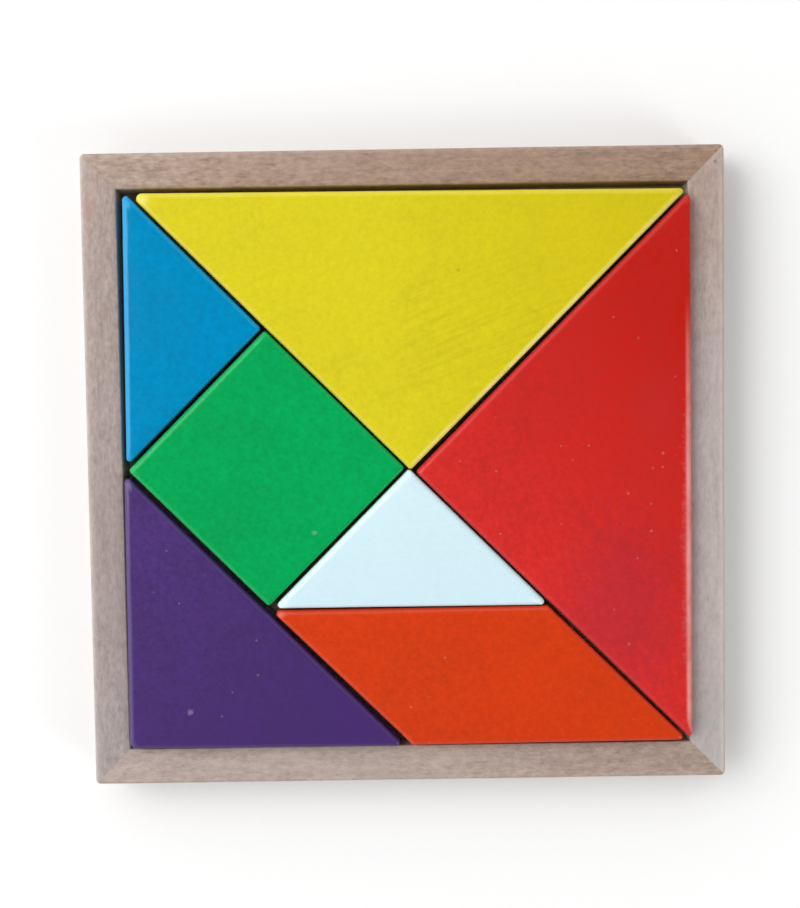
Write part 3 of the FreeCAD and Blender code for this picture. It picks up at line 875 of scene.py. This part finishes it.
# %% Colours of the paint
# Node: paint at one place and at another, which differ partly by painted shade, and those two places in
# millimetres
PAINT_AND_SHADE = {
    "large_triangle_yellow": ((0.712, 0.617, 0.0170), (0.633, 0.522, 0.0093), (-8, 45), (50, 50)),
    "large_triangle_red": ((0.672, 0.0300, 0.0260), (0.470, 0.0110, 0.0050), (8, 0), (58, 42)),
    "medium_triangle_purple": ((0.0820, 0.0385, 0.1880), (0.0610, 0.0245, 0.1500), (-62, -15), (-30, -62)),
    "small_triangle_blue": ((0.0, 0.257, 0.518), (0.0, 0.264, 0.532), (-60, 50), (-60, 10)),
    "small_triangle_white": ((0.638, 0.825, 0.885), (0.615, 0.808, 0.880), (0, -5), (0, -30)),
    "square_green": ((0.0023, 0.383, 0.0935), (0.0023, 0.387, 0.0965), (-50, 0), (-15, 0)),
    "parallelogram_orange": ((0.672, 0.0500, 0.0088), (0.628, 0.0445, 0.0066), (-20, -35), (50, -60)),
}
# Node: clouds, grain through the paint, turn of the grain
UNEVEN = {
    "large_triangle_yellow": (0.42, 0.05, -22),
    "large_triangle_red": (0.72, 0.06, 80),
    "medium_triangle_purple": (1.00, 0.08, 45),
    "small_triangle_blue": (0.62, 0.06, 10),
    "small_triangle_white": (0.12, 0.04, 0),
    "square_green": (0.68, 0.06, 20),
    "parallelogram_orange": (0.62, 0.06, 5),
}
# Node: centre and reach of the place where the grain shows, and how strongly
GRAIN_SHOWS = {"large_triangle_yellow": ((20.0, 33.0, 14.5), (30.0, 20.0, 9.0), 0.42)}
GRAIN_RAGGED = 0.8
FULLER = 0.09
THINNED = 0.62


def coat(tree, node, point):
    """The paint film of a piece. The more it clouds, the fuller the paint between the clouds."""
    paint, far_paint_shaded, near, far = PAINT_AND_SHADE[node]
    clouds, grain, turn = UNEVEN[node]
    full, far_full_shaded = ([(1 + FULLER * clouds) * part for part in tone] for tone in (paint, far_paint_shaded))
    thin = [THINNED * part + 0.002 for part in full]
    if node in GRAIN_SHOWS:
        centre, reach, strongest = GRAIN_SHOWS[node]
        grain = ramp(tree, spot_mask(tree, point, centre, reach, GRAIN_RAGGED), 0.0, 1.0, grain, strongest)
    # Painted shade as well as paint: the tone changes from the near place to the far one
    along = drift(tree, point, (*near, 0), (*far, 0))
    return placed(tree, paint_film, {
        "Point": point_in_mm(tree, turn), "Paint": mixed(tree, along, (*full, 1), (*far_full_shaded, 1)),
        "Thin": (*thin, 1), "Clouds": clouds, "Grain": grain})


# %% [markdown]
# Over the coat come the traces of use and some painted light: grains of dust and a few marks, of which the red
# piece's haze on its lower right is partly painted sheen and the pale line along its right edge is a painted
# highlight. All edges get a tone paler or darker than the faces, partly thin paint and partly painted highlight
# and shade, and three pieces have an edge paler still, from wear and a painted highlight. The red piece's pale
# edge begins a little below its upper corner and is full before the middle, so its strength fades in along the
# edge.

# %% Traces of use, painted highlight and shade
# Node: spacing, size and share of the specks of dust
SPECKS = {
    "large_triangle_yellow": (6, 0.30, 0.10),
    "large_triangle_red": (3, 0.50, 0.35),
    "medium_triangle_purple": (3, 0.50, 0.22),
    "small_triangle_blue": (5, 0.35, 0.20),
    "small_triangle_white": (7, 0.25, 0.05),
    "square_green": (5, 0.35, 0.20),
    "parallelogram_orange": (4, 0.40, 0.30),
}
# Node: marks as centre, reach, strength and colour; two of the red piece's marks are painted light
MARKS_AND_PAINTED_LIGHT = {
    "large_triangle_yellow": [((12.9, 46.2, 14.4), (0.7, 0.6, 3.0), 0.42, (0.30, 0.22, 0.02))],
    # On red: the first mark, a darker, pinker haze on the lower right, is partly painted sheen; the last, a pale
    # line along the right edge, is a painted highlight
    "large_triangle_red": [((50.0, -34.0, 14.4), (17.0, 28.0, 9.0), 0.34, (0.30, 0.026, 0.052)),
                           ((59.0, 13.0, 14.4), (7.0, 11.0, 9.0), 0.08, (0.31, 0.060, 0.075)),
                           ((66.5, -22.0, 14.0), (2.2, 42.0, 9.0), 0.12, (0.85, 0.50, 0.50))],
    "medium_triangle_purple": [((-51.8, -56.9, 14.4), (0.9, 1.0, 3.0), 0.42, (0.35, 0.30, 0.50))],
    "square_green": [((-21.7, -14.7, 14.4), (0.7, 0.7, 3.0), 0.22, (0.40, 0.65, 0.48))],
}
# Node: how light its edges are beside its faces, partly thin paint and partly painted highlight and shade
EDGE_TONE_AND_LIGHT = {
    "large_triangle_yellow": 0.85,
    "large_triangle_red": 0.65,
    "medium_triangle_purple": 0.80,
    "small_triangle_blue": 1.50,
    "small_triangle_white": 1.00,
    "square_green": 1.10,
    "parallelogram_orange": 0.80,
}
# Node: where its pale edge of wear and painted highlight begins, and where it is full
PALE_EDGE_FADES_IN = {"large_triangle_red": ((67, 40, 0), (67, 10, 0))}
SPECK_STRENGTH = 0.32
MARK_RAGGED = 1.1
EDGE_STRENGTH = 0.35


def dusty(tree, node, point, colour):
    """The colour with paler specks."""
    spacing, size, share = SPECKS[node]
    mask = placed(tree, dust_specks, {"Point": point, "Spacing": spacing, "Size": size, "Share": share})["Mask"]
    pale = [0.55 * part + 0.25 for part in PAINT_AND_SHADE[node][0]]
    return mixed(tree, maths(tree, "MULTIPLY", mask, SPECK_STRENGTH), colour, (*pale, 1))


def edges_worn_and_lit(tree, node, point, colour):
    """The colour with a tone on all edges, thin paint with painted highlight and shade, and with the pale edge of
    wear and painted highlight.
    """
    # Painted highlight and shade as well as thin paint: every rounded edge lighter or darker than the face
    mask = add(tree, "ShaderNodeAttribute", attribute_name="edge").outputs["Fac"]
    edge_paint_and_light = [min(1.0, EDGE_TONE_AND_LIGHT[node] * part + 0.004) for part in PAINT_AND_SHADE[node][0]]
    colour = mixed(tree, maths(tree, "MULTIPLY", mask, EDGE_STRENGTH), colour, (*edge_paint_and_light, 1))
    if node in PALE_EDGE_WEAR_AND_HIGHLIGHT:
        strength, tint = PALE_EDGE_WEAR_AND_HIGHLIGHT[node][2:]
        if node in PALE_EDGE_FADES_IN:
            strength = maths(tree, "MULTIPLY", drift(tree, point, *PALE_EDGE_FADES_IN[node]), strength)
        colour = pale_patches_over(tree, point, colour, "wear_and_highlight", strength, tint)
    return colour


# %% [markdown]
# A material per piece puts the layers together. What is left is the strength of its shine, one number
# on the shader's own socket: yellow is the glossiest and green the dullest.

# %% Paint of the pieces
SHINE = {
    "large_triangle_yellow": 0.42,
    "large_triangle_red": 0.20,
    "medium_triangle_purple": 0.32,
    "small_triangle_blue": 0.22,
    "small_triangle_white": 0.35,
    "square_green": 0.18,
    "parallelogram_orange": 0.28,
}
PAINT_BUMP = 0.25
for node, slab in slabs.items():
    material, tree, shader = new_material(PIECES[node])
    shader["Specular IOR Level"].default_value = SHINE[node]
    point = point_in_mm(tree)
    film = coat(tree, node, point)
    colour = dusty(tree, node, point, film["Color"])
    colour = marked(tree, point, colour, MARKS_AND_PAINTED_LIGHT.get(node, []), MARK_RAGGED)
    join(tree, shader, edges_worn_and_lit(tree, node, point, colour), film, PAINT_BUMP)
    slab.data.materials.append(material)
print("painted:", ", ".join(slabs))

# %% [markdown]
# Under the pieces lies a thin plywood bottom. It is seen only from below and in the narrow gaps, so
# the CAD board is kept as it is, and its slot gets the same beech grain, browner and a little more
# flecked, as peeled veneer is.

# %% Bottom panel
plywood, tree, shader = new_material("plywood_veneer")
grain = placed(tree, beech_grain, {
    "Point": point_in_mm(tree, 0, (40, 10, 0)), "Pale": (0.52, 0.40, 0.29, 1), "Deep": (0.36, 0.25, 0.17, 1),
    "Streaks": 0.8, "Flecks": 0.35})
join(tree, shader, grain["Color"], grain, WOOD_BUMP)
nodes["base_panel"].material_slots[0].material = plywood
print("bottom panel:", plywood.name)

# %% [markdown]
# The tray lies on a plain pale ground like studio paper. A curved sheet would hide the horizon too, but
# it would also shade the sky's light. So it is one flat face, far wider than the picture, and only a
# very low view reaches its far end. A trace of noise keeps it from being one flat tone.

# %% Floor
HALF_FLOOR = 8.0
floor_mesh = bpy.data.meshes.new("floor")
floor_mesh.from_pydata([(-HALF_FLOOR, -HALF_FLOOR, 0), (HALF_FLOOR, -HALF_FLOOR, 0),
                        (HALF_FLOOR, HALF_FLOOR, 0), (-HALF_FLOOR, HALF_FLOOR, 0)], [], [(0, 1, 2, 3)])
floor = bpy.data.objects.new("floor", floor_mesh)
bpy.context.collection.objects.link(floor)
paper, tree, shader = new_material("floor_paper")
shader["Roughness"].default_value = 0.8
fuzz = noise(tree, point_in_mm(tree), (1.0, 1.0, 1.0), 3.0, 0.6)
tree.links.new(mixed(tree, fuzz, (0.90, 0.90, 0.90, 1), (0.93, 0.93, 0.93, 1)), shader["Base Color"])
floor_mesh.materials.append(paper)
print(f"floor: {2 * HALF_FLOOR:.0f} m wide")
